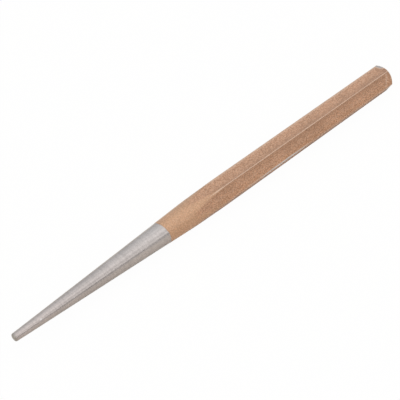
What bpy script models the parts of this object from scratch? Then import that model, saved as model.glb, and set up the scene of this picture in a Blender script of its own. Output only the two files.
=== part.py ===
"""Taper punch: a hexagonal steel bar ground to a long cone at one end, under a lacquer coat.

The punch lies on one of its flats. X runs along its axis from the tip to the struck head, Z is up,
and the origin is on the ground under the middle of its length. Lengths are in metres.
"""

import math

import bmesh
import bpy
from mathutils import Matrix, Vector

OBJECT_NAME = "taper_punch"

# Steel bar and its ground point
SIDES = 6
LENGTH = 0.190  # tip face to struck face
FLATS = 0.010  # across the flats of the bar
RIDGE_RADIUS = 0.0004
TAPER_LENGTH = 0.078  # tip face to where the cone is as wide as the flats
TIP_DIAMETER = 0.003
TIP_EDGE_RADIUS = 0.0006

# Struck head
FACE_DIAMETER = 0.008
FACE_EDGE_RADIUS = 0.001
CHAMFER_ANGLE = math.radians(45)  # between the chamfer and the axis

# Lacquer coat, which leaves the front of the cone bare
FILM = 0.00008
BOND_GAP = 0.00002  # keeps the coat's inner face clear of the steel
COAT_START = 0.0664  # tip face to the coat's front edge, along the axis
EDGE_SLANT = math.radians(6.8)  # the front edge's lean from square
EDGE_TURN = math.radians(30)  # where it leans to the tip, from +Y towards +Z about the axis

# Facets and working allowance
TURNED_STEPS = 96
RIDGE_STEPS = 4
ROUND_STEPS = 4
CLEARANCE = 0.0005  # how far blanks and cutters reach past what they shape
WELD = 0.000001

# Worked out from the sizes above
HALF_CORNER = math.pi / SIDES
RIDGE_REACH = FLATS / 2 / math.cos(HALF_CORNER)
TAPER_ANGLE = math.atan((FLATS - TIP_DIAMETER) / 2 / TAPER_LENGTH)
COAT = BOND_GAP + FILM
AXIS_HEIGHT = FLATS / 2 + COAT
OVERALL_LENGTH = LENGTH + COAT

# Outward directions of the turned half-section's sides, as (radius, height above the tip face)
FACE_OUT = Vector((0, 1))
CHAMFER_OUT = Vector((math.cos(CHAMFER_ANGLE), math.sin(CHAMFER_ANGLE)))
SIDE_OUT = Vector((1, 0))
CONE_OUT = Vector((math.cos(TAPER_ANGLE), -math.sin(TAPER_ANGLE)))
TIP_OUT = Vector((0, -1))


def new_collection(name):
    collection = bpy.data.collections.new(name)
    bpy.context.scene.collection.children.link(collection)
    return collection


def new_object(name, bm, collection, lay):
    """An object made from bm, parented to the empty that lays the punch down."""
    mesh = bpy.data.meshes.new(name)
    bm.to_mesh(mesh)
    bm.free()
    obj = bpy.data.objects.new(name, mesh)
    obj.parent = lay
    collection.objects.link(obj)
    return obj


def make_cutter(obj):
    obj.hide_render = True
    obj.display_type = "WIRE"
    return obj


def boolean(obj, operation, other):
    modifier = obj.modifiers.new(f"{operation.lower()} {other.name}", "BOOLEAN")
    modifier.operation = operation
    modifier.solver = "EXACT"
    modifier.object = other


def hexagonal_bar(name, grow, collection, lay):
    """A length of bar with rounded ridges, longer than the punch, its faces moved out by grow."""
    reach = (FLATS / 2 + grow) / math.cos(HALF_CORNER)
    bm = bmesh.new()
    bmesh.ops.create_cone(
        bm,
        cap_ends=True,
        segments=SIDES,
        radius1=reach,
        radius2=reach,
        depth=OVERALL_LENGTH + 2 * CLEARANCE,
        matrix=Matrix.Translation((0, 0, OVERALL_LENGTH / 2)),
    )
    bar = new_object(name, bm, collection, lay)
    bevel = bar.modifiers.new("ridges", "BEVEL")
    bevel.width = (RIDGE_RADIUS + grow) * math.tan(HALF_CORNER)
    bevel.segments = RIDGE_STEPS
    return bar


def rounded_corner(corner, before, after, radius, grow):
    """The arc that rounds a corner between two sides, given by their outward directions."""
    centre = corner - (before + after) * radius / (1 + before.dot(after))
    turn = -before.angle_signed(after)
    turns = [Matrix.Rotation(turn * i / ROUND_STEPS, 2) for i in range(ROUND_STEPS + 1)]
    return [centre + (radius + grow) * (step @ before) for step in turns]


def sharp_corner(corner, before, after, grow):
    """The corner of two sides that have both moved out by grow."""
    return corner + (before + after) * grow / (1 + before.dot(after))


def turned_outline(grow):
    """Half-section from the head's centre to the tip's. Its straight side lies clear of the ridges."""
    side = RIDGE_REACH + CLEARANCE
    face = Vector((FACE_DIAMETER / 2, LENGTH))
    shoulder = Vector((side, LENGTH - (side - face.x) / math.tan(CHAMFER_ANGLE)))
    tip = Vector((TIP_DIAMETER / 2, 0))
    runout = Vector((side, (side - tip.x) / math.tan(TAPER_ANGLE)))
    return [
        Vector((0, LENGTH + grow)),
        *rounded_corner(face, FACE_OUT, CHAMFER_OUT, FACE_EDGE_RADIUS, grow),
        sharp_corner(shoulder, CHAMFER_OUT, SIDE_OUT, grow),
        sharp_corner(runout, SIDE_OUT, CONE_OUT, grow),
        *rounded_corner(tip, CONE_OUT, TIP_OUT, TIP_EDGE_RADIUS, grow),
        Vector((0, -grow)),
    ]


def turned_form(name, grow, collection, lay):
    """The round form that the bar is ground to: chamfered head, long cone and flat tip."""
    bm = bmesh.new()
    outline = [bm.verts.new((point.x, 0, point.y)) for point in turned_outline(grow)]
    for upper, lower in zip(outline, outline[1:]):
        bm.edges.new((upper, lower))
    form = new_object(name, bm, collection, lay)
    screw = form.modifiers.new("turned", "SCREW")
    screw.steps = TURNED_STEPS
    screw.render_steps = TURNED_STEPS
    screw.use_merge_vertices = True
    screw.merge_threshold = WELD
    return make_cutter(form)


def ground_bar(name, grow, collection, cutters, lay):
    """The bar with its head and point ground, all its faces moved out by grow."""
    bar = hexagonal_bar(name, grow, collection, lay)
    boolean(bar, "INTERSECT", turned_form(f"{name}_turning", grow, cutters, lay))
    return bar


def front_block(name, collection, lay):
    """A block over the bare point, whose top is the slanted plane of the coat's front edge."""
    side = COAT_START + FLATS
    bm = bmesh.new()
    bmesh.ops.create_cube(bm, size=side, matrix=Matrix.Translation((0, 0, -side / 2)))
    block = new_object(name, bm, collection, lay)
    lean = math.tan(EDGE_SLANT)
    top_out = Vector((-lean * math.sin(EDGE_TURN), lean * math.cos(EDGE_TURN), 1))
    block.location = (0, 0, COAT_START)
    block.rotation_mode = "QUATERNION"
    block.rotation_quaternion = Vector((0, 0, 1)).rotation_difference(top_out)
    return make_cutter(block)


def finish(obj, colour, metallic, roughness):
    material = bpy.data.materials.new(obj.name)
    material.use_nodes = True
    shader = material.node_tree.nodes["Principled BSDF"]
    shader.inputs["Base Color"].default_value = (*colour, 1)
    shader.inputs["Metallic"].default_value = metallic
    shader.inputs["Roughness"].default_value = roughness
    obj.data.materials.append(material)


def make_steel_punch(parts, cutters, lay):
    punch = ground_bar("steel_punch", 0, parts, cutters, lay)
    finish(punch, colour=(0.53, 0.51, 0.50), metallic=1.0, roughness=0.35)


def make_lacquer_coat(parts, cutters, lay):
    """The film follows the ground bar all round, over the head and down to the slanted front edge."""
    coat = ground_bar("lacquer_coat", COAT, parts, cutters, lay)
    boolean(coat, "DIFFERENCE", make_cutter(ground_bar("coat_inside", BOND_GAP, cutters, cutters, lay)))
    boolean(coat, "DIFFERENCE", front_block("coat_front", cutters, lay))
    finish(coat, colour=(0.47, 0.27, 0.17), metallic=0.6, roughness=0.4)


def main():
    for obj in list(bpy.data.objects):
        bpy.data.objects.remove(obj, do_unlink=True)
    parts = new_collection(OBJECT_NAME)
    cutters = new_collection(f"{OBJECT_NAME}_cutters")
    lay = bpy.data.objects.new(f"{OBJECT_NAME}_lay", None)
    lay.location = (-OVERALL_LENGTH / 2, 0, AXIS_HEIGHT)
    lay.rotation_euler = (0, math.pi / 2, 0)
    parts.objects.link(lay)
    make_steel_punch(parts, cutters, lay)
    make_lacquer_coat(parts, cutters, lay)


main()
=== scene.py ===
"""Looks of the taper punch: its ground steel, its copper lacquer and a plain studio stage."""

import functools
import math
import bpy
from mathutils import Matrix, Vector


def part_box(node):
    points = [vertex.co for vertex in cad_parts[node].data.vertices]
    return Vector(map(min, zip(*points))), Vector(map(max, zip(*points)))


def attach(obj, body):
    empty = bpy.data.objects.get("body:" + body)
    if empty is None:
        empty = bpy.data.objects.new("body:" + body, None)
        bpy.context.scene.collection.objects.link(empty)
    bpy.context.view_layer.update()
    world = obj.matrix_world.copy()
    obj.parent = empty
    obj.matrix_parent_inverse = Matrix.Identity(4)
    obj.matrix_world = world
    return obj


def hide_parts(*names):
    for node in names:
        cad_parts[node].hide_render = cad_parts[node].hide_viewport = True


bl_info = {
    "name": "Taper Punch Looks",
    "version": (1, 0, 0),
    "blender": (4, 5, 0),
    "location": "View3D > Sidebar > Taper Punch",
    "description": "Builds the ground steel, the copper lacquer and the studio stage of a taper punch",
    "category": "Object",
}

import bmesh
import bpy
from bpy.props import FloatProperty, FloatVectorProperty, IntProperty, PointerProperty
from mathutils import Euler, Matrix, Vector, noise

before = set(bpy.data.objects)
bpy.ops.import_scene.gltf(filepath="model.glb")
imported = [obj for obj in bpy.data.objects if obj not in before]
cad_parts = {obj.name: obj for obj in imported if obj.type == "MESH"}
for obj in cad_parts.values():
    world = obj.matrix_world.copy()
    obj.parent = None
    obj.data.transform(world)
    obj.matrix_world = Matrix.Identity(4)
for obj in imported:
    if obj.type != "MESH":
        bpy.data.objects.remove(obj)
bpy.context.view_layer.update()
STEEL_LOW, STEEL_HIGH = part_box("steel_punch")
COAT_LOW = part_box("lacquer_coat")[0]

BODY = "root"
MM = 0.001
SIDES = 6
SECTOR = 2 * math.pi / SIDES
HALF_SECTOR = SECTOR / 2
TIP_X = STEEL_LOW.x
AXIS_Z = (STEEL_LOW.z + STEEL_HIGH.z) / 2
COAT_DEPTH = STEEL_LOW.z - COAT_LOW.z

# Where the film is knocked through: from the tip face, angle from +Y towards +Z about the axis, and reach
KNOCKS = (
    (187.7 * MM, math.radians(64), 1.5 * MM),
    (188.1 * MM, math.radians(70), 1.9 * MM),
    (188.3 * MM, math.radians(78), 2.0 * MM),
    (188.7 * MM, math.radians(86), 1.5 * MM),
    (189.3 * MM, math.radians(196), 0.9 * MM),
    (189.4 * MM, math.radians(301), 1.2 * MM),
)

# A pale scuff across a flat near the head, as for the knocks, and how far it goes through the film
SCUFFS = (
    (187.0 * MM, math.radians(128), 0.8 * MM),
    (186.7 * MM, math.radians(138), 0.9 * MM),
    (186.4 * MM, math.radians(147), 0.9 * MM),
    (186.0 * MM, math.radians(155), 0.9 * MM),
    (185.4 * MM, math.radians(163), 0.9 * MM),
    (184.4 * MM, math.radians(170), 0.7 * MM),
)
SCUFF_RUB = 0.7

# Darker spots on the lacquer, as for the knocks: the first four, on top next to the head's chamfer, are
# painted shade, and the others are dirt
SHADE_AND_GRIME_SPOTS = (
    (187.6 * MM, math.radians(70), 2.6 * MM),
    (188.2 * MM, math.radians(88), 2.0 * MM),
    (188.4 * MM, math.radians(103), 1.7 * MM),
    (187.9 * MM, math.radians(116), 1.3 * MM),
    (187.2 * MM, math.radians(214), 2.4 * MM),
    (149.0 * MM, math.radians(268), 3.2 * MM),
    (121.0 * MM, math.radians(334), 2.6 * MM),
)

# Where ridges are rubbed, and a painted glint: start and stop from the tip face, angle, depth through the
# film and half width
RUBBED_RIDGES_AND_GLINT = (
    (87 * MM, 198 * MM, math.radians(120), 0.68, 0.37 * MM),
    (84 * MM, 101 * MM, math.radians(120), 0.68, 0.5 * MM),
    (86 * MM, 198 * MM, math.radians(60), 0.57, 1.8 * MM),
    # Painted glint: these three lines on the 180° ridge are drawn as film worn through to bright steel, in
    # place of a glint along that ridge
    (99 * MM, 144 * MM, math.radians(180), 0.68, 0.65 * MM),
    (106 * MM, 142 * MM, math.radians(180), 1.0, 0.65 * MM),
    (111 * MM, 137 * MM, math.radians(180), 1.35, 0.65 * MM),
    (90 * MM, 198 * MM, math.radians(180), 0.55, 0.4 * MM),
    (88 * MM, 176 * MM, math.radians(0), 0.55, 0.35 * MM),
    (97 * MM, 198 * MM, math.radians(240), 0.65, 0.4 * MM),
    (90 * MM, 150 * MM, math.radians(300), 0.6, 0.35 * MM),
)

# Painted shade beside a ridge, where the hollow flats look darker: the film there is drawn darker, as for
# the rubbed ridges
RIDGE_SHADES = (
    (84 * MM, 198 * MM, math.radians(120), 0.27, 1.9 * MM),
    (118 * MM, 198 * MM, math.radians(120), 0.48, 2.1 * MM),
    (88 * MM, 198 * MM, math.radians(120), 0.55, 0.8 * MM),
    (92 * MM, 180 * MM, math.radians(240), 0.3, 1.9 * MM),
)
RIDGE_FADE = 7 * MM  # over which such a line fades at its ends

# Distances from the axis between which such a line fades in, so that it ends on the chamfer
RIDGE_IN = 4.3 * MM
RIDGE_OUT = 4.9 * MM

# How far the film is rubbed through along the chamfer's outer edge, and half the width of that line
RIM_RUB = 0.55
RIM_WIDTH = 0.35 * MM

# Grime on the struck face, and the distances from the axis between which that face ends
FACE_GRIME = 0.4
FACE_IN = 3.3 * MM
FACE_OUT = 3.9 * MM

# Small nicks on the cone, whose glints are painted as brighter steel, as for the knocks
NICK_GLINTS = (
    (10.8 * MM, math.radians(132), 0.6 * MM),
    (24.6 * MM, math.radians(144), 0.4 * MM),
    (47.5 * MM, math.radians(20), 0.7 * MM),
    (19.0 * MM, math.radians(255), 0.8 * MM),
)

# Lacquer film
BOND_GAP = 0.02 * MM  # keeps it off the steel mesh
EDGE_WAVES = ((3, 0.4, 1.0), (7, 1.9, 0.6), (13, 0.0, 0.4))  # round its front edge: count, turn, height
FINE_RIPPLE_RATE = 2.3  # how much closer the finer waves are than the slow ones
FINE_RIPPLE_SHARE = 0.5  # how much lower they are

# Share of a flat's half width at which a last column stands just inside its ridge
GUARD = 0.97

# Rings of the meshes
FACE_SHARES = (0.3, 0.65, 0.9)  # of an end face's radius
CHAMFER_STEP = 0.06 * MM
STEEL_OVERLAP = 4 * MM  # how far the steel's close rings reach under the coat
RUN_OUT_MARGIN = 3 * MM  # how far the coat's close rings reach past the flats' run-out

# First rings of the film: their distances behind its slanted edge, the steps from the last one to a ring
# square to the axis, and that ring's distance behind the coat's start
FRONT_DISTANCES = tuple(mm * MM for mm in (0, 0.01, 0.03, 0.06, 0.11, 0.2, 0.35, 0.6, 1.0))
FRONT_STEPS = 10
LEVEL_RUN = 3 * MM

# How far the turned form stands clear of the bar where its rolled skin is whole again
SKIN = 0.15 * MM

# Noises of the node groups, and the ranges that they are drawn out from
WHOLE_RANGE = (0.0, 1.0)
GRAIN_RANGE = (0.28, 0.72)
LINE_RANGE = (0.25, 0.75)
CLOUD_DETAILS = {"Patch": 3.0, "Speck": 2.0}
LINE_DETAIL = 4.0
LINE_ROUGHNESS = 0.65

# Ground steel
RING_STRETCH = (1400.0, 150.0, 150.0)  # how often the grinding rings change along each axis, in a metre
STREAK_STRETCH = (60.0, 1100.0, 1100.0)  # the same for the lengthwise streaks
STEEL_GRAIN = {"Patch Size": 14 * MM, "Speck Size": 0.5 * MM, "Flake Size": 0.3 * MM}
STEEL_SHARES = (0.28, 0.15, 0.25, 0.32)  # of rings, streaks, flakes and patches
DARK_TIP_SPECKS = 0.4  # how far specks break up the darker tip
DARK_TIP_RANGE = (0.4, 0.9)  # over which the darker tip comes in
NICK_GLINT_RANGE = (0.3, 0.7)  # over which a painted glint comes in
QUARTER_TURN = 0.25  # from the shader's tangent to the way that the rings run
RING_STRENGTH = 0.1
RING_DEPTH = 0.02 * MM

# Copper lacquer
LACQUER_PATCH = 9 * MM
MOTTLE_RANGE = (0.25, 0.75)
LACQUER_SHARES = (0.52, 0.17, 0.31)  # of mottling, flakes and patches
SHADE_AND_GRIME_RANGE = (0.0, 0.7)  # that the level of painted shade and dirt is held to
RUB_RANGE = (0.3, 0.7)  # over which rubbed film, and the edges of the painted glint, come in
BARE_AND_GLINT_RANGE = (0.75, 0.95)  # over which knocked-through steel and the painted glint come in
SMOOTH_PEEL = 0.3  # share of the orange peel that is left over the ground steel

# Stage
FLOOR_HALF = 4.0  # half the floor's side
FLOOR_DROP = 0.05 * MM  # keeps the floor clear of the flat that lies on it
SENSOR_WIDTH = 36  # in millimetres
NEAR_CLIP = 0.01

# Places of nodes in the editor
NODE_WIDTH = 220
NODE_HEIGHT = 260
NODE_COLUMNS = 6

# Degrees about the punch's axis, from eye level in front over the top to eye level behind
TENT_ANGLES = (0, 5, 10, 13, 16, 21, 30, 48, 68, 90, 110, 130, 150, 180)

# Kinds of setting that come up again
LengthProperty = functools.partial(FloatProperty, unit="LENGTH")
AngleProperty = functools.partial(FloatProperty, subtype="ANGLE")
ShareProperty = functools.partial(FloatProperty, subtype="FACTOR", min=0, max=1)
ColourProperty = functools.partial(FloatVectorProperty, subtype="COLOR", min=0, max=1)


class PunchShape(bpy.types.PropertyGroup):
    """Sizes of the ground bar."""

    length: LengthProperty(
        name="Length",
        description="Tip face to struck face of the steel",
        default=STEEL_HIGH.x - STEEL_LOW.x,
    )
    flats: LengthProperty(
        name="Across Flats",
        description="Width of the hexagonal bar across its flats",
        default=STEEL_HIGH.z - STEEL_LOW.z,
    )
    ridge_radius: LengthProperty(
        name="Ridge Radius", description="Rounding of the bar's long ridges", default=0.4 * MM
    )
    hollow: LengthProperty(
        name="Flat Hollow",
        description="How far the middle of a rolled flat sinks below its ridges",
        default=0.13 * MM,
    )
    hollow_run: LengthProperty(
        name="Hollow Run",
        description="Distance behind the taper over which the flats grow hollow",
        default=14 * MM,
    )
    taper_length: LengthProperty(
        name="Taper Length",
        description="Tip face to where the cone is as wide as the flats",
        default=78 * MM,
    )
    tip_diameter: LengthProperty(
        name="Tip Diameter", description="Diameter of the cone at the tip face", default=3 * MM
    )
    tip_edge_radius: LengthProperty(
        name="Tip Edge Radius", description="Rounding of the tip's rim", default=0.6 * MM
    )
    face_diameter: LengthProperty(
        name="Face Diameter", description="Diameter of the struck face inside its chamfer", default=8 * MM
    )
    face_edge_radius: LengthProperty(
        name="Face Edge Radius",
        description="Rounding between the struck face and its chamfer",
        default=1 * MM,
    )
    chamfer_angle: AngleProperty(
        name="Chamfer Angle",
        description="Angle between the head's chamfer and the axis",
        default=math.radians(45),
    )
    edge_blend: LengthProperty(
        name="Edge Blend",
        description="Width over which a ground surface runs into a flat",
        default=0.02 * MM,
    )


class CoatShape(bpy.types.PropertyGroup):
    """Sizes of the lacquer film."""

    bond_gap: LengthProperty(
        name="Bond Gap",
        description="Clear space that keeps the film off the steel mesh",
        default=BOND_GAP,
    )
    film: LengthProperty(
        name="Film", description="Thickness of the lacquer", default=COAT_DEPTH - BOND_GAP
    )
    start: LengthProperty(
        name="Coat Start",
        description="Tip face to the coat's front edge, along the axis",
        default=66.4 * MM,
    )
    edge_slant: AngleProperty(
        name="Edge Slant", description="Lean of the front edge from square", default=math.radians(6.8)
    )
    edge_turn: AngleProperty(
        name="Edge Turn",
        description="Where the edge leans to the tip, from +Y towards +Z about the axis",
        default=math.radians(30),
    )
    edge_wave: LengthProperty(
        name="Edge Wave", description="Unevenness of the front edge", default=0.07 * MM
    )
    lip: LengthProperty(
        name="Edge Lip",
        description="Distance over which the film rises at its front edge",
        default=0.05 * MM,
    )
    bead: ShareProperty(
        name="Edge Bead",
        description="Share by which the film is thicker just behind its front edge",
        default=0.1,
    )
    bead_width: LengthProperty(
        name="Bead Width", description="Distance over which the thicker edge fades out", default=0.7 * MM
    )
    front_share: ShareProperty(
        name="Front Share", description="Share of the full film at the front edge", default=0.4
    )
    front_run: LengthProperty(
        name="Front Run",
        description="Distance behind the front edge over which the film thickens",
        default=10 * MM,
    )
    ripple: LengthProperty(
        name="Ripple", description="Height of the film's slow waves", default=0.006 * MM
    )
    ripple_length: LengthProperty(
        name="Ripple Length", description="Distance between the film's slow waves", default=3 * MM
    )


class MeshDetail(bpy.types.PropertyGroup):
    """How finely the pieces are divided."""

    flat_columns: IntProperty(
        name="Flat Columns", description="Divisions across a flat", default=16, min=4
    )
    ridge_columns: IntProperty(
        name="Ridge Columns", description="Divisions across a rounded ridge", default=8, min=2
    )
    arc_steps: IntProperty(name="Arc Steps", description="Divisions of a rounded rim", default=8, min=2)
    cone_step: LengthProperty(
        name="Cone Step", description="Ring spacing on a shown cone", default=0.5 * MM
    )
    shank_step: LengthProperty(
        name="Shank Step", description="Ring spacing on the shank", default=0.8 * MM
    )
    head_step: LengthProperty(
        name="Head Step", description="Ring spacing near the head", default=0.25 * MM
    )
    head_length: LengthProperty(
        name="Head Length", description="How far the closer rings reach", default=4 * MM
    )
    hidden_step: LengthProperty(
        name="Hidden Step", description="Ring spacing under the coat", default=4 * MM
    )


class SteelFinish(bpy.types.PropertyGroup):
    """Look of the ground steel."""

    colour: ColourProperty(name="Colour", description="Ground steel", default=(0.672, 0.612, 0.584))
    tip_colour: ColourProperty(
        name="Tip Colour",
        description="Ground steel at the tip, browned by use",
        default=(0.668, 0.578, 0.541),
    )
    brown_length: LengthProperty(
        name="Brown Length", description="How far the browned steel reaches", default=60 * MM
    )
    line_colour: ColourProperty(
        name="Line Colour", description="Bottom of the grinding lines", default=(0.308, 0.278, 0.264)
    )
    # The tip face and rim are drawn in a darker colour
    dark_tip_colour: ColourProperty(
        name="Dull Colour", description="Tip face and rim, dulled by use", default=(0.37, 0.335, 0.30)
    )
    dark_tip_length: LengthProperty(
        name="Dull Length", description="How far the dull tip reaches", default=1.2 * MM
    )
    # Painted glint: the bright colour of the small nicks on the cone
    nick_glint_colour: ColourProperty(
        name="Nick Colour", description="Bright bottom of a nick", default=(0.80, 0.77, 0.76)
    )
    roughness: ShareProperty(name="Roughness", description="Middle of the roughness", default=0.38)
    roughness_spread: ShareProperty(
        name="Roughness Spread", description="How far it varies", default=0.06
    )
    anisotropy: ShareProperty(
        name="Anisotropy",
        description="How much the grinding lines stretch a reflection along the punch",
        default=0.90,
    )


class LacquerFinish(bpy.types.PropertyGroup):
    """Look of the copper lacquer."""

    colour: ColourProperty(name="Colour", description="Pale flakes", default=(0.646, 0.443, 0.310))
    red_colour: ColourProperty(name="Red Colour", description="Red flakes", default=(0.746, 0.413, 0.250))
    gap_colour: ColourProperty(
        name="Gap Colour", description="Between the flakes", default=(0.336, 0.175, 0.098)
    )
    cone_colour: ColourProperty(
        name="Cone Colour",
        description="Over the ground steel, where the film lies smoother",
        default=(0.645, 0.425, 0.255),
    )
    cone_share: ShareProperty(
        name="Cone Share", description="How far the flakes are lost over the ground steel", default=0.32
    )
    # Painted shade and dirt: the darker film beside the ridges and next to the head's chamfer, and dirt
    # spots
    shade_and_grime_colour: ColourProperty(
        name="Smudge Colour", description="Grime on the film", default=(0.33, 0.18, 0.11)
    )
    worn_colour: ColourProperty(
        name="Worn Colour",
        description="Where the film is rubbed thin along an edge",
        default=(0.66, 0.475, 0.355),
    )
    # Also the painted glint along the 180° ridge, for which this colour is bright
    bare_and_glint_colour: ColourProperty(
        name="Bare Colour", description="Steel where the film is knocked off", default=(0.62, 0.60, 0.59)
    )
    # Painted shade on knocked-through steel at the head, where the darker spots lie over it
    shaded_bare_colour: ColourProperty(
        name="Tarnish Colour", description="Bare steel under grime", default=(0.29, 0.29, 0.31)
    )
    wear: ShareProperty(name="Wear", description="How far rubbed edges pale", default=0.8)
    wear_break: ShareProperty(name="Wear Break", description="How patchy rubbed edges are", default=0.2)
    flake_size: LengthProperty(name="Flake Size", description="Width of a metal flake", default=0.14 * MM)
    speck_size: LengthProperty(
        name="Speck Size", description="Width of the mottling and the orange peel", default=0.47 * MM
    )
    peel: LengthProperty(name="Peel", description="Depth of the orange peel's dimples", default=0.06 * MM)
    metallic: ShareProperty(name="Metallic", description="Share of metal in the film", default=1.00)
    roughness: ShareProperty(name="Roughness", description="Middle of the roughness", default=0.62)
    roughness_spread: ShareProperty(
        name="Roughness Spread", description="How far it varies", default=0.08
    )
    gloss: ShareProperty(name="Gloss", description="Weight of the clear top layer", default=0.57)
    gloss_roughness: ShareProperty(
        name="Gloss Roughness", description="Roughness of the clear top layer", default=0.08
    )


class StageSettings(bpy.types.PropertyGroup):
    """Floor, light and camera."""

    floor_colour: ColourProperty(name="Floor", description="Pale floor", default=(0.803, 0.756, 0.701))
    floor_white: ShareProperty(
        name="Floor White", description="Share of the floor that shows as plain white", default=0.97
    )
    glossy_white: ShareProperty(
        name="Glossy White",
        description="Share of the floor that shows as plain white in a reflection",
        default=0.05,
    )
    tent: FloatVectorProperty(
        name="Tent",
        description="Brightness of the light tent at the tent angles, front to back",
        size=len(TENT_ANGLES),
        default=(0.72, 0.74, 0.97, 0.20, 0.20, 0.97, 1.48, 0.88, 1.33, 1.17, 1.27, 1.01, 0.96, 0.73),
    )
    back_tint: FloatVectorProperty(
        name="Back Tint",
        description="Colour of the tent at eye level behind; it is white in front",
        default=(0.943, 1.0, 1.040),
        subtype="COLOR",
        min=0,
        max=2,
    )
    key_power: FloatProperty(
        name="Key Power", description="Power of the soft box", default=0.25, unit="POWER"
    )
    key_size: LengthProperty(name="Key Size", description="Side of the soft box", default=0.6)
    key_elevation: AngleProperty(
        name="Key Elevation",
        description="Height of the soft box above the floor, seen from the punch",
        default=math.radians(68),
    )
    key_distance: LengthProperty(name="Key Distance", description="Soft box to punch", default=0.8)
    aim: FloatVectorProperty(
        name="Aim",
        description="Point in the middle of the picture",
        default=(-8.381 * MM, 1.506 * MM, 6.235 * MM),
        subtype="TRANSLATION",
    )
    azimuth: AngleProperty(
        name="Azimuth", description="Turn of the view from +Y towards +X", default=math.radians(39.814)
    )
    elevation: AngleProperty(
        name="Elevation", description="Height of the view above the floor", default=math.radians(44.495)
    )
    roll: AngleProperty(
        name="Roll",
        description="Turn of the camera about its own line of sight",
        default=math.radians(-4.834),
    )
    distance: LengthProperty(name="Distance", description="Camera to aim point", default=388.255 * MM)
    focal_length: FloatProperty(
        name="Focal Length",
        description="Lens on a 36 mm sensor, in millimetres",
        default=94.483,
        subtype="DISTANCE_CAMERA",
    )


def spaced(start, stop, step):
    """Values from start to stop, both included, about step apart."""
    count = max(1, math.ceil(abs(stop - start) / step))
    return [start + (stop - start) * i / count for i in range(count + 1)]


def soft_min(first, second, blend):
    """The smaller value, rounded over where the two are about blend apart."""
    return (first + second - math.hypot(first - second, blend)) / 2


def column_angles(shape, detail, grow):
    """Angles of the columns round the axis from +Y towards +Z, close together on the ridges."""
    half = shape.flats / 2 + grow
    flat_end = math.atan((half - shape.ridge_radius - grow) / half * math.tan(HALF_SECTOR))
    angles = []
    for side in range(SIDES):
        middle = side * SECTOR + HALF_SECTOR
        for share in [-1, *spaced(-GUARD, GUARD, 2 * GUARD / (detail.flat_columns - 2))]:
            angles.append(middle + flat_end * share)
        for i in range(detail.ridge_columns):
            angles.append(middle + flat_end + 2 * (HALF_SECTOR - flat_end) * i / detail.ridge_columns)
    return angles


def flat_hollow(shape, x):
    """How far a flat's middle sinks at x from the tip face: none on the cone, fully past the run-out."""
    share = min(1, max(0, (x - shape.taper_length) / shape.hollow_run))
    return shape.hollow * share**2 * (3 - 2 * share)


def bar_radius(shape, x, angle, grow):
    """Distance from the axis to the bar's outline at x and this angle, its faces moved out by grow."""
    half = shape.flats / 2 + grow
    rounding = shape.ridge_radius + grow
    turn = angle % SECTOR - HALF_SECTOR
    flat_half = (half - rounding) * math.tan(HALF_SECTOR)
    across = half * math.tan(turn)
    if abs(across) <= flat_half:
        return (half - flat_hollow(shape, x) * (1 - (across / flat_half) ** 2)) / math.cos(turn)
    centre = (half - rounding) / math.cos(HALF_SECTOR)
    off_ridge = HALF_SECTOR - abs(turn)
    return centre * math.cos(off_ridge) + math.sqrt(rounding**2 - (centre * math.sin(off_ridge)) ** 2)


def taper_slope(shape):
    """Growth of the cone's radius along the axis."""
    return (shape.flats - shape.tip_diameter) / 2 / shape.taper_length


def cone_radius(shape, x, grow):
    """Radius of the ground cone at x from the tip face, moved out by grow square to its side."""
    slope = taper_slope(shape)
    return shape.tip_diameter / 2 + slope * x + grow * math.hypot(1, slope)


def chamfer_radius(shape, x, grow):
    """Radius of the head's chamfer at x from the tip face, moved out by grow square to its side."""
    slope = math.tan(shape.chamfer_angle)
    return shape.face_diameter / 2 + slope * (shape.length - x) + grow * math.hypot(1, slope)


def rim_arc(corner, before, after, radius, grow, steps):
    """Points (x, radius) of the arc that rounds a corner between two sides, by their outward directions."""
    centre = corner - (before + after) * radius / (1 + before.dot(after))
    turn = before.angle_signed(after)
    arc = []
    for i in range(steps + 1):
        out = Matrix.Rotation(-turn * i / steps, 2) @ before
        arc.append(centre + (radius + grow) * out)
    return [(point.x, point.y) for point in arc]


def tip_stations(shape, detail):
    """Points (x, radius) from the tip face's middle round its rim."""
    slope = math.atan(taper_slope(shape))
    corner = Vector((0, shape.tip_diameter / 2))
    face_out = Vector((-1, 0))
    cone_out = Vector((-math.sin(slope), math.cos(slope)))
    rim = rim_arc(corner, face_out, cone_out, shape.tip_edge_radius, 0, detail.arc_steps)
    inner = [(0, rim[0][1] * share) for share in FACE_SHARES]
    return inner + rim


def head_stations(shape, detail, grow):
    """Points (x, radius) from clear of the ridges down the chamfer to near the struck face's middle."""
    corner = Vector((shape.length, shape.face_diameter / 2))
    chamfer_out = Vector((math.sin(shape.chamfer_angle), math.cos(shape.chamfer_angle)))
    face_out = Vector((1, 0))
    rim = rim_arc(corner, chamfer_out, face_out, shape.face_edge_radius, grow, detail.arc_steps)
    reach = (shape.flats / 2 + grow) / math.cos(HALF_SECTOR)
    slope = math.tan(shape.chamfer_angle)
    start_x, start_radius = rim[0]
    chamfer = []
    for radius in spaced(reach, start_radius, CHAMFER_STEP)[:-1]:
        chamfer.append((start_x - (radius - start_radius) / slope, radius))
    inner = [(rim[-1][0], rim[-1][1] * share) for share in reversed(FACE_SHARES)]
    return chamfer + rim + inner


def ring_point(x, radius, angle):
    """A place on the punch: x from the tip face, and a radius and an angle about the axis."""
    return Vector((TIP_X + x, radius * math.cos(angle), AXIS_Z + radius * math.sin(angle)))


def ground_point(shape, x, angle, envelope, grow):
    """Where the bar's outline meets the turned form's radius, with all faces moved out by grow."""
    radius = soft_min(bar_radius(shape, x, angle, grow), envelope, shape.edge_blend)
    return ring_point(x, radius, angle)


def ground_ring(shape, angles, x, envelope, grow):
    """One ring of the ground bar."""
    return [ground_point(shape, x, angle, envelope, grow) for angle in angles]


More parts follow.
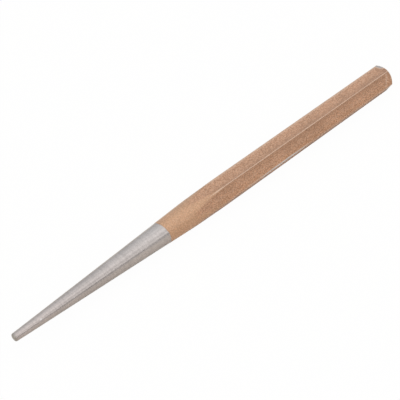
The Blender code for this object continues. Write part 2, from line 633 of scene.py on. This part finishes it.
def loft(name, first, rings, last):
    """A closed mesh through the rings, with a point at each end."""
    bm = bmesh.new()
    rows = [[bm.verts.new(point) for point in ring] for ring in rings]
    columns = len(rows[0])
    for row, following in zip(rows, rows[1:]):
        for i in range(columns):
            j = (i + 1) % columns
            bm.faces.new((row[i], row[j], following[j], following[i]))
    for pole, row in ((first, rows[0]), (last, rows[-1])):
        middle = bm.verts.new(pole)
        for i in range(columns):
            bm.faces.new((middle, row[i], row[(i + 1) % columns]))
    bmesh.ops.recalc_face_normals(bm, faces=bm.faces)
    mesh = bpy.data.meshes.new(name)
    bm.to_mesh(mesh)
    bm.free()
    mesh.shade_smooth()
    piece = bpy.data.objects.new(name, mesh)
    bpy.context.scene.collection.objects.link(piece)
    return piece


def mark(mesh, name, level):
    """Stores at each vertex the level for its x from the tip face, radius and angle about the axis."""
    marks = mesh.attributes.new(name, "FLOAT", "POINT")
    for vert, stored in zip(mesh.vertices, marks.data):
        y = vert.co.y
        z = vert.co.z - AXIS_Z
        stored.value = level(vert.co.x - TIP_X, math.hypot(y, z), math.atan2(z, y))


def turn_between(first, second):
    """The smaller angle between two directions about the axis."""
    return abs((first - second + math.pi) % (2 * math.pi) - math.pi)


def spot_level(spots, x, radius, angle):
    """How near a place is to the middle of a spot, from 0 at its rim to 1."""
    level = 0
    for spot_x, spot_angle, reach in spots:
        away = math.hypot(x - spot_x, radius * turn_between(angle, spot_angle))
        level = max(level, 1 - away / reach)
    return level


def ridge_level(lines, x, radius, angle):
    """How strong the lines along the ridges are at a place."""
    level = 0
    outer = (radius - RIDGE_IN) / (RIDGE_OUT - RIDGE_IN)
    for start, stop, ridge_angle, most, half_width in lines:
        along = min(1, outer, (x - start) / RIDGE_FADE, (stop - x) / RIDGE_FADE)
        across = 1 - radius * turn_between(angle, ridge_angle) / half_width
        level = max(level, most * max(0, along) * across)
    return level


def rim_level(shape, x, angle, grow):
    """How far the film is rubbed through where the flats meet the chamfer."""
    away = abs(chamfer_radius(shape, x, grow) - bar_radius(shape, x, angle, grow))
    return RIM_RUB * max(0, 1 - away / RIM_WIDTH)


def face_share(radius):
    """1 on the struck face, the only place where the film is so near the axis, and 0 past its rim."""
    return min(1, max(0, (FACE_OUT - radius) / (FACE_OUT - FACE_IN)))


def rolled_level(shape, x, angle, grow):
    """1 where the bar keeps its rolled skin and 0 on the ground cone."""
    return min(1, max(0, (cone_radius(shape, x, grow) - bar_radius(shape, x, angle, grow)) / SKIN))


def side_stations(shape, xs, grow):
    """Points (x, radius) of the turned form along the cone and the shank."""
    return [(x, cone_radius(shape, x, grow)) for x in xs]


def steel_rings(shape, coat, detail):
    """Rings from the tip to the struck face, far apart where the coat covers them."""
    angles = column_angles(shape, detail, 0)
    covered = coat.start + STEEL_OVERLAP
    tip = tip_stations(shape, detail)
    head = head_stations(shape, detail, 0)
    shown = spaced(tip[-1][0], covered, detail.cone_step)[1:]
    hidden = spaced(covered, head[0][0], detail.hidden_step)[1:-1]
    stations = tip + side_stations(shape, shown + hidden, 0) + head
    return [ground_ring(shape, angles, x, radius, 0) for x, radius in stations]


def coat_edge(shape, coat, angle):
    """Distance of the coat's front edge from the tip face at this angle."""
    radius = cone_radius(shape, coat.start, coat.bond_gap)
    lean = math.tan(coat.edge_slant) * radius * math.cos(angle - coat.edge_turn)
    wave = sum(height * math.sin(count * angle + turn) for count, turn, height in EDGE_WAVES)
    return coat.start - lean + coat.edge_wave * wave


def film_reach(coat, behind):
    """Steel to the film's outer face, this far behind its front edge: a lip, a bead, then a slow rise."""
    rise = 1 - math.exp(-behind / coat.lip)
    bead = coat.bead * math.exp(-behind / coat.bead_width)
    share = 1 - (1 - coat.front_share) * math.exp(-behind / coat.front_run)
    return coat.bond_gap + coat.film * rise * (share + bead)


def front_point(shape, coat, angle, x, behind):
    """A place on the film's outer face at x, this far behind its front edge."""
    grow = film_reach(coat, behind)
    return ground_point(shape, x, angle, cone_radius(shape, x, grow), grow)


def coat_front_rings(shape, coat, angles, level_x):
    """Rings from the slanted front edge, where the film starts, to the square ring at level_x."""
    columns = [(angle, coat_edge(shape, coat, angle)) for angle in angles]
    rings = []
    for behind in FRONT_DISTANCES:
        rings.append([front_point(shape, coat, angle, edge + behind, behind) for angle, edge in columns])
    last = FRONT_DISTANCES[-1]
    for i in range(1, FRONT_STEPS):
        ring = []
        for angle, edge in columns:
            start = edge + last
            x = start + (level_x - start) * i / FRONT_STEPS
            ring.append(front_point(shape, coat, angle, x, x - start + last))
        rings.append(ring)
    return rings


def ripple_film(coat, point):
    """Moves a point of the film's outer face out or in by its slow waves."""
    axis = Vector((point.x, 0, AXIS_Z))
    out = (point - axis).normalized()
    slow = noise.noise(point / coat.ripple_length)
    fine = noise.noise(FINE_RIPPLE_RATE * point / coat.ripple_length)
    return point + out * coat.ripple * (slow + FINE_RIPPLE_SHARE * fine)


def coat_rings(shape, coat, detail):
    """Rings from inside the struck face, forward on the steel, round the front edge and back outside."""
    inner_grow = coat.bond_gap
    outer_grow = coat.bond_gap + coat.film
    angles = column_angles(shape, detail, outer_grow)
    level_x = coat.start + LEVEL_RUN
    run_out_end = (shape.flats / 2 / math.cos(HALF_SECTOR) - shape.tip_diameter / 2) / taper_slope(shape)
    inner_head = head_stations(shape, detail, inner_grow)
    inner_xs = spaced(level_x, inner_head[0][0], detail.hidden_step)[:-1]
    inner = side_stations(shape, inner_xs, inner_grow) + inner_head
    outer_head = head_stations(shape, detail, outer_grow)
    cone = spaced(level_x, run_out_end + RUN_OUT_MARGIN, detail.cone_step)
    head_end = outer_head[0][0]
    shank = spaced(cone[-1], head_end - detail.head_length, detail.shank_step)[1:]
    head = spaced(head_end - detail.head_length, head_end, detail.head_step)[1:-1]
    rings = [ground_ring(shape, angles, x, radius, inner_grow) for x, radius in inner[::-1]]
    rings += coat_front_rings(shape, coat, angles, level_x)
    outer = []
    for x in cone + shank + head:
        grow = film_reach(coat, x - coat.start)
        outer.append(ground_ring(shape, angles, x, cone_radius(shape, x, grow), grow))
    outer += [ground_ring(shape, angles, x, radius, outer_grow) for x, radius in outer_head]
    return rings + [[ripple_film(coat, point) for point in ring] for ring in outer]


class NodeSheet:
    """Places nodes in a node tree and links them by socket name."""

    def __init__(self, tree):
        self.tree = tree
        self.count = 0

    def add(self, kind, inputs=None, **settings):
        node = self.tree.nodes.new(kind)
        self.count += 1
        row, column = divmod(self.count, NODE_COLUMNS)
        node.location = (NODE_WIDTH * column, -NODE_HEIGHT * row)
        for name, value in settings.items():
            setattr(node, name, value)
        for name, value in (inputs or {}).items():
            self.feed(node, name, value)
        return node

    def feed(self, node, name, value):
        """Links a socket to an input of node, by name or place, or sets the input to a plain value."""
        socket = node.inputs[name]
        if isinstance(value, bpy.types.NodeSocket):
            self.tree.links.new(value, socket)
        else:
            socket.default_value = value


def computed(sheet, operation, *values):
    """The result of a math node on these sockets or plain values."""
    node = sheet.add("ShaderNodeMath", operation=operation)
    for i, value in enumerate(values):
        sheet.feed(node, i, value)
    return node.outputs["Value"]


def remapped(sheet, value, old, new=WHOLE_RANGE):
    """The value moved from its old range to a new one, and kept inside that."""
    limits = {"From Min": old[0], "From Max": old[1], "To Min": new[0], "To Max": new[1]}
    return sheet.add("ShaderNodeMapRange", {"Value": value, **limits}).outputs["Result"]


def new_group(name, inputs, outputs):
    """A shader node group with these float and vector inputs and float outputs, and its two end nodes."""
    group = bpy.data.node_groups.new(name, "ShaderNodeTree")
    for label, default in inputs.items():
        kind = "NodeSocketVector" if isinstance(default, tuple) else "NodeSocketFloat"
        socket = group.interface.new_socket(name=label, in_out="INPUT", socket_type=kind)
        socket.default_value = default
    for label in outputs:
        group.interface.new_socket(name=label, in_out="OUTPUT", socket_type="NodeSocketFloat")
    sheet = NodeSheet(group)
    return sheet, sheet.add("NodeGroupInput"), sheet.add("NodeGroupOutput")


def grain_group():
    """Slow patches, small specks, flat flakes and a tint as fine as the specks, each from 0 to 1."""
    name = "Surface Grain"
    if name in bpy.data.node_groups:
        return bpy.data.node_groups[name]
    sheet, given, made = new_group(name, STEEL_GRAIN, ["Patch", "Speck", "Flake", "Tint"])
    place = sheet.add("ShaderNodeTexCoord")
    for label, detail in CLOUD_DETAILS.items():
        scale = computed(sheet, "DIVIDE", 1.0, given.outputs[label + " Size"])
        clouds = sheet.add(
            "ShaderNodeTexNoise", {"Vector": place.outputs["Object"], "Scale": scale, "Detail": detail}
        )
        sheet.feed(made, label, remapped(sheet, clouds.outputs["Fac"], GRAIN_RANGE))
    tint = sheet.add("ShaderNodeSeparateColor", {"Color": clouds.outputs["Color"]})
    sheet.feed(made, "Tint", remapped(sheet, tint.outputs["Green"], GRAIN_RANGE))
    scale = computed(sheet, "DIVIDE", 1.0, given.outputs["Flake Size"])
    cells = sheet.add("ShaderNodeTexVoronoi", {"Vector": place.outputs["Object"], "Scale": scale})
    flake = sheet.add("ShaderNodeSeparateColor", {"Color": cells.outputs["Color"]})
    sheet.feed(made, "Flake", flake.outputs["Red"])
    return sheet.tree


def line_group():
    """Fine lines left by a tool, from 0 to 1. Stretch sets how often they change along each axis."""
    name = "Tool Lines"
    if name in bpy.data.node_groups:
        return bpy.data.node_groups[name]
    sheet, given, made = new_group(name, {"Stretch": (1.0, 1.0, 1.0)}, ["Lines"])
    place = sheet.add("ShaderNodeTexCoord")
    stretched = sheet.add("ShaderNodeVectorMath", operation="MULTIPLY")
    sheet.feed(stretched, 0, place.outputs["Object"])
    sheet.feed(stretched, 1, given.outputs["Stretch"])
    lines = sheet.add(
        "ShaderNodeTexNoise",
        {
            "Vector": stretched.outputs["Vector"],
            "Scale": 1.0,
            "Detail": LINE_DETAIL,
            "Roughness": LINE_ROUGHNESS,
        },
    )
    sheet.feed(made, "Lines", remapped(sheet, lines.outputs["Fac"], LINE_RANGE))
    return sheet.tree


def empty_sheet(owner):
    """A sheet over the emptied node tree of a material or a world."""
    owner.use_nodes = True
    owner.node_tree.nodes.clear()
    return NodeSheet(owner.node_tree)


def new_metal(name, metallic):
    """A material with its sheet and its shader."""
    material = bpy.data.materials.new(name)
    sheet = empty_sheet(material)
    shader = sheet.add("ShaderNodeBsdfPrincipled", {"Metallic": metallic})
    sheet.add("ShaderNodeOutputMaterial", {"Surface": shader.outputs["BSDF"]})
    return material, sheet, shader


def mix_colour(sheet, share, first, second):
    """The first colour turning into the second as share goes from 0 to 1."""
    mix = sheet.add("ShaderNodeMix", data_type="RGBA")
    sheet.feed(mix, "Factor", share)
    for label, value in (("A", first), ("B", second)):
        socket = next(s for s in mix.inputs if s.name == label and s.type == "RGBA")
        if isinstance(value, bpy.types.NodeSocket):
            sheet.tree.links.new(value, socket)
        else:
            socket.default_value = (*value, 1)
    return next(s for s in mix.outputs if s.type == "RGBA")


def marked(sheet, name):
    """The level that a mark stores over the mesh."""
    return sheet.add("ShaderNodeAttribute", attribute_name=name).outputs["Fac"]


def uneven_roughness(sheet, grain, finish):
    """The finish's roughness, varied by the grain's slow patches."""
    low = finish.roughness - finish.roughness_spread
    high = finish.roughness + finish.roughness_spread
    return remapped(sheet, grain.outputs["Patch"], WHOLE_RANGE, (low, high))


def weighted(sheet, parts):
    """Sum of the sockets, each times its weight."""
    total = 0.0
    for socket, weight in parts:
        total = computed(sheet, "MULTIPLY_ADD", socket, weight, total)
    return total


def place_group(sheet, group, inputs):
    return sheet.add("ShaderNodeGroup", inputs, node_tree=group)


def ground_steel(finish):
    """Bare steel, ground round the cone: fine rings, lengthwise streaks and faint smudges."""
    material, sheet, shader = new_metal("ground_steel", 1.0)
    rings = place_group(sheet, line_group(), {"Stretch": RING_STRETCH})
    streaks = place_group(sheet, line_group(), {"Stretch": STREAK_STRETCH})
    grain = place_group(sheet, grain_group(), STEEL_GRAIN)
    layers = (
        rings.outputs["Lines"],
        streaks.outputs["Lines"],
        grain.outputs["Flake"],
        grain.outputs["Patch"],
    )
    ground = mix_colour(sheet, marked(sheet, "browned"), finish.colour, finish.tip_colour)
    lined = mix_colour(sheet, weighted(sheet, zip(layers, STEEL_SHARES)), finish.line_colour, ground)
    # The tip face and rim are drawn darker
    tip = weighted(sheet, ((marked(sheet, "dark_tip"), 1.0), (grain.outputs["Speck"], DARK_TIP_SPECKS)))
    darker = mix_colour(sheet, remapped(sheet, tip, DARK_TIP_RANGE), lined, finish.dark_tip_colour)
    # Painted glints: small nicks drawn as brighter steel
    nick_glint = remapped(sheet, marked(sheet, "nick_glint"), NICK_GLINT_RANGE)
    sheet.feed(shader, "Base Color", mix_colour(sheet, nick_glint, darker, finish.nick_glint_colour))
    sheet.feed(shader, "Roughness", uneven_roughness(sheet, grain, finish))
    sheet.feed(shader, "Anisotropic", finish.anisotropy)
    sheet.feed(shader, "Anisotropic Rotation", QUARTER_TURN)
    round_axis = sheet.add("ShaderNodeTangent", direction_type="RADIAL", axis="X")
    sheet.feed(shader, "Tangent", round_axis.outputs["Tangent"])
    bump = sheet.add(
        "ShaderNodeBump",
        {"Strength": RING_STRENGTH, "Distance": RING_DEPTH, "Height": rings.outputs["Lines"]},
    )
    sheet.feed(shader, "Normal", bump.outputs["Normal"])
    return material


def copper_lacquer(finish):
    """Copper-coloured metallic lacquer: flakes, faint orange peel, a thin gloss, pale rubbed edges, dirt,
    painted shade and a painted glint.
    """
    material, sheet, shader = new_metal("copper_lacquer", finish.metallic)
    grain = place_group(
        sheet,
        grain_group(),
        {"Patch Size": LACQUER_PATCH, "Speck Size": finish.speck_size, "Flake Size": finish.flake_size},
    )
    speck = grain.outputs["Speck"]
    layers = (remapped(sheet, speck, MOTTLE_RANGE), grain.outputs["Flake"], grain.outputs["Patch"])
    flakes = mix_colour(sheet, grain.outputs["Tint"], finish.colour, finish.red_colour)
    flaked = mix_colour(sheet, weighted(sheet, zip(layers, LACQUER_SHARES)), finish.gap_colour, flakes)
    rolled = marked(sheet, "rolled")
    smooth = remapped(sheet, rolled, WHOLE_RANGE, (finish.cone_share, 0.0))
    laid = mix_colour(sheet, smooth, flaked, finish.cone_colour)
    # Painted shade and dirt: the film is drawn darker beside the ridges, next to the head's chamfer, at
    # dirt spots and on the struck face
    shade_and_grime = remapped(sheet, marked(sheet, "shade_and_grime_mark"), SHADE_AND_GRIME_RANGE, SHADE_AND_GRIME_RANGE)
    shaded_and_grimed = mix_colour(sheet, shade_and_grime, laid, finish.shade_and_grime_colour)
    # The rub_and_glint mark also draws the painted glint along the 180° ridge, as bright steel without film
    broken = weighted(sheet, ((marked(sheet, "rub_and_glint"), 1.0), (speck, finish.wear_break)))
    rubbed = remapped(sheet, broken, RUB_RANGE, (0.0, finish.wear))
    worn = mix_colour(sheet, rubbed, shaded_and_grimed, finish.worn_colour)
    bare_and_glint = remapped(sheet, broken, BARE_AND_GLINT_RANGE)
    # Knocked-through steel is drawn darker under the painted shade at the head
    steel = mix_colour(sheet, shade_and_grime, finish.bare_and_glint_colour, finish.shaded_bare_colour)
    sheet.feed(shader, "Base Color", mix_colour(sheet, bare_and_glint, worn, steel))
    sheet.feed(shader, "Roughness", uneven_roughness(sheet, grain, finish))
    sheet.feed(shader, "Coat Weight", remapped(sheet, bare_and_glint, WHOLE_RANGE, (finish.gloss, 0.0)))
    sheet.feed(shader, "Coat Roughness", finish.gloss_roughness)
    peel = computed(sheet, "MULTIPLY", speck, remapped(sheet, rolled, WHOLE_RANGE, (SMOOTH_PEEL, 1.0)))
    bump = sheet.add("ShaderNodeBump", {"Strength": 1.0, "Distance": finish.peel, "Height": peel})
    sheet.feed(shader, "Normal", bump.outputs["Normal"])
    return material


def pale_floor(stage):
    """A pale floor that shows mostly as plain white and still takes the punch's soft shadow."""
    material = bpy.data.materials.new("pale_floor")
    sheet = empty_sheet(material)
    matte = sheet.add("ShaderNodeBsdfDiffuse", {"Color": (*stage.floor_colour, 1)})
    white = sheet.add("ShaderNodeEmission", {"Color": (1, 1, 1, 1), "Strength": 1.0})
    path = sheet.add("ShaderNodeLightPath")
    seen = computed(sheet, "MAXIMUM", path.outputs["Is Camera Ray"], path.outputs["Is Transmission Ray"])
    shown = computed(sheet, "MULTIPLY", seen, stage.floor_white)
    mirrored = computed(sheet, "MULTIPLY", path.outputs["Is Glossy Ray"], stage.glossy_white)
    mix = sheet.add("ShaderNodeMixShader")
    sheet.feed(mix, 0, computed(sheet, "MAXIMUM", shown, mirrored))
    sheet.feed(mix, 1, matte.outputs["BSDF"])
    sheet.feed(mix, 2, white.outputs["Emission"])
    sheet.add("ShaderNodeOutputMaterial", {"Surface": mix.outputs["Shader"]})
    return material


def make_floor(stage):
    bm = bmesh.new()
    bmesh.ops.create_grid(bm, x_segments=1, y_segments=1, size=FLOOR_HALF)
    mesh = bpy.data.meshes.new("floor")
    bm.to_mesh(mesh)
    bm.free()
    mesh.materials.append(pale_floor(stage))
    floor = bpy.data.objects.new("floor", mesh)
    floor.location = (0, 0, COAT_LOW.z - FLOOR_DROP)
    bpy.context.scene.collection.objects.link(floor)


def make_tent(stage):
    """A light tent round the punch's axis, with a dark strip low in front."""
    world = bpy.data.worlds.new("light_tent")
    sheet = empty_sheet(world)
    place = sheet.add("ShaderNodeTexCoord")
    side = sheet.add("ShaderNodeSeparateXYZ", {"Vector": place.outputs["Generated"]})
    front = computed(sheet, "MULTIPLY", side.outputs["Y"], -1.0)
    angle = computed(sheet, "ARCTAN2", side.outputs["Z"], front)
    ramp = sheet.add("ShaderNodeValToRGB", {"Fac": computed(sheet, "DIVIDE", angle, math.pi)})
    stops = ramp.color_ramp.elements
    while len(stops) < len(TENT_ANGLES):
        stops.new(1)
    white = Vector((1, 1, 1))
    for stop, degrees, level in zip(stops, TENT_ANGLES, stage.tent):
        stop.position = degrees / TENT_ANGLES[-1]
        stop.color = (*level * white.lerp(Vector(stage.back_tint), stop.position), 1)
    light = sheet.add("ShaderNodeBackground", {"Color": ramp.outputs["Color"], "Strength": 1.0})
    sheet.add("ShaderNodeOutputWorld", {"Surface": light.outputs["Background"]})
    bpy.context.scene.world = world


def make_key_light(stage):
    """A square soft box above the punch, on the camera's side."""
    lamp = bpy.data.lights.new("soft_box", "AREA")
    lamp.shape = "SQUARE"
    lamp.size = stage.key_size
    lamp.energy = stage.key_power
    box = bpy.data.objects.new("soft_box", lamp)
    out = Vector((0, -math.cos(stage.key_elevation), math.sin(stage.key_elevation)))
    box.location = out * stage.key_distance
    box.rotation_euler = out.to_track_quat("Z", "Y").to_euler()
    bpy.context.scene.collection.objects.link(box)


def make_camera(stage):
    lens = bpy.data.cameras.new("camera")
    lens.sensor_width = SENSOR_WIDTH
    lens.lens = stage.focal_length
    lens.clip_start = NEAR_CLIP
    camera = bpy.data.objects.new("camera", lens)
    level_share = math.cos(stage.elevation)
    forward_x = level_share * math.sin(stage.azimuth)
    forward_y = level_share * math.cos(stage.azimuth)
    forward = Vector((forward_x, forward_y, -math.sin(stage.elevation)))
    camera.location = Vector(stage.aim) - forward * stage.distance
    unrolled = forward.to_track_quat("-Z", "Y")
    camera.rotation_mode = "QUATERNION"
    camera.rotation_quaternion = unrolled @ Euler((0, 0, stage.roll)).to_quaternion()
    bpy.context.scene.collection.objects.link(camera)
    bpy.context.scene.camera = camera


class PUNCH_OT_steel(bpy.types.Operator):
    """Build the ground steel bar in place of its CAD solid"""

    bl_idname = "punch.steel"
    bl_label = "Ground Steel"

    def execute(self, context):
        settings = context.scene.punch
        shape = settings.shape
        rings = steel_rings(shape, settings.coat, settings.detail)
        piece = loft("steel_bar", ring_point(0, 0, 0), rings, ring_point(shape.length, 0, 0))
        dark_tip_length = settings.steel.dark_tip_length
        brown_length = settings.steel.brown_length
        # The darker tip face and rim
        mark(piece.data, "dark_tip", lambda x, radius, angle: max(0, 1 - x / dark_tip_length))
        mark(piece.data, "browned", lambda x, radius, angle: max(0, 1 - x / brown_length))
        # Painted glints of small nicks
        mark(piece.data, "nick_glint", lambda x, radius, angle: spot_level(NICK_GLINTS, x, radius, angle))
        piece.data.materials.append(ground_steel(settings.steel))
        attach(piece, BODY)
        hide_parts("steel_punch")
        return {"FINISHED"}


class PUNCH_OT_lacquer(bpy.types.Operator):
    """Build the lacquer film in place of its CAD solid"""

    bl_idname = "punch.lacquer"
    bl_label = "Copper Lacquer"

    def execute(self, context):
        settings = context.scene.punch
        shape = settings.shape
        coat = settings.coat
        rings = coat_rings(shape, coat, settings.detail)
        inside = ring_point(shape.length + coat.bond_gap, 0, 0)
        outside = ring_point(shape.length + coat.bond_gap + coat.film, 0, 0)
        piece = loft("lacquer_film", inside, rings, outside)
        grow = coat.bond_gap + coat.film

        # Rubbed film, and the painted glint along the 180° ridge
        def rub_and_glint_level(x, radius, angle):
            knock = spot_level(KNOCKS, x, radius, angle) * (1 - face_share(radius))
            scuff = SCUFF_RUB * spot_level(SCUFFS, x, radius, angle)
            ridge = ridge_level(RUBBED_RIDGES_AND_GLINT, x, radius, angle)
            return max(knock, scuff, ridge, rim_level(shape, x, angle, grow))

        # Painted shade beside the ridges and next to the head's chamfer, with dirt spots and the struck
        # face's dirt
        def shade_and_grime_level(x, radius, angle):
            ridge_shade = ridge_level(RIDGE_SHADES, x, radius, angle)
            spot = spot_level(SHADE_AND_GRIME_SPOTS, x, radius, angle)
            return max(ridge_shade, spot, FACE_GRIME * face_share(radius))

        mark(piece.data, "rub_and_glint", rub_and_glint_level)
        mark(piece.data, "shade_and_grime_mark", shade_and_grime_level)
        mark(piece.data, "rolled", lambda x, radius, angle: rolled_level(shape, x, angle, grow))
        piece.data.materials.append(copper_lacquer(settings.lacquer))
        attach(piece, BODY)
        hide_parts("lacquer_coat")
        return {"FINISHED"}


class PUNCH_OT_stage(bpy.types.Operator):
    """Set the floor, the light and the camera"""

    bl_idname = "punch.stage"
    bl_label = "Studio Stage"

    def execute(self, context):
        stage = context.scene.punch.stage
        make_floor(stage)
        make_tent(stage)
        make_key_light(stage)
        make_camera(stage)
        context.scene.view_settings.view_transform = "Standard"
        return {"FINISHED"}


class PunchSettings(bpy.types.PropertyGroup):
    """All settings of the taper punch."""

    shape: PointerProperty(type=PunchShape, name="Shape", description="Sizes of the ground bar")
    coat: PointerProperty(type=CoatShape, name="Coat", description="Sizes of the lacquer film")
    detail: PointerProperty(type=MeshDetail, name="Detail", description="How finely the pieces are divided")
    steel: PointerProperty(type=SteelFinish, name="Steel", description="Look of the ground steel")
    lacquer: PointerProperty(type=LacquerFinish, name="Lacquer", description="Look of the copper lacquer")
    stage: PointerProperty(type=StageSettings, name="Stage", description="Floor, light and camera")


class PUNCH_PT_panel(bpy.types.Panel):
    """Lists the pieces of the taper punch and their settings"""

    bl_idname = "PUNCH_PT_panel"
    bl_label = "Taper Punch"
    bl_space_type = "VIEW_3D"
    bl_region_type = "UI"
    bl_category = "Taper Punch"

    def draw(self, context):
        layout = self.layout
        for operator in OPERATORS:
            layout.operator(operator.bl_idname)
        for title in ("shape", "coat", "detail", "steel", "lacquer", "stage"):
            group = getattr(context.scene.punch, title)
            box = layout.box()
            box.label(text=title.title())
            for name in group.bl_rna.properties.keys():
                if name not in ("rna_type", "name"):
                    box.prop(group, name)


GROUPS = (PunchShape, CoatShape, MeshDetail, SteelFinish, LacquerFinish, StageSettings, PunchSettings)
OPERATORS = (PUNCH_OT_steel, PUNCH_OT_lacquer, PUNCH_OT_stage)


def register():
    for cls in (*GROUPS, *OPERATORS, PUNCH_PT_panel):
        bpy.utils.register_class(cls)
    bpy.types.Scene.punch = PointerProperty(type=PunchSettings)


def unregister():
    del bpy.types.Scene.punch
    for cls in reversed((*GROUPS, *OPERATORS, PUNCH_PT_panel)):
        bpy.utils.unregister_class(cls)


def main():
    register()
    bpy.ops.punch.steel()
    bpy.ops.punch.lacquer()
    bpy.ops.punch.stage()


if __name__ == "__main__":
    main()
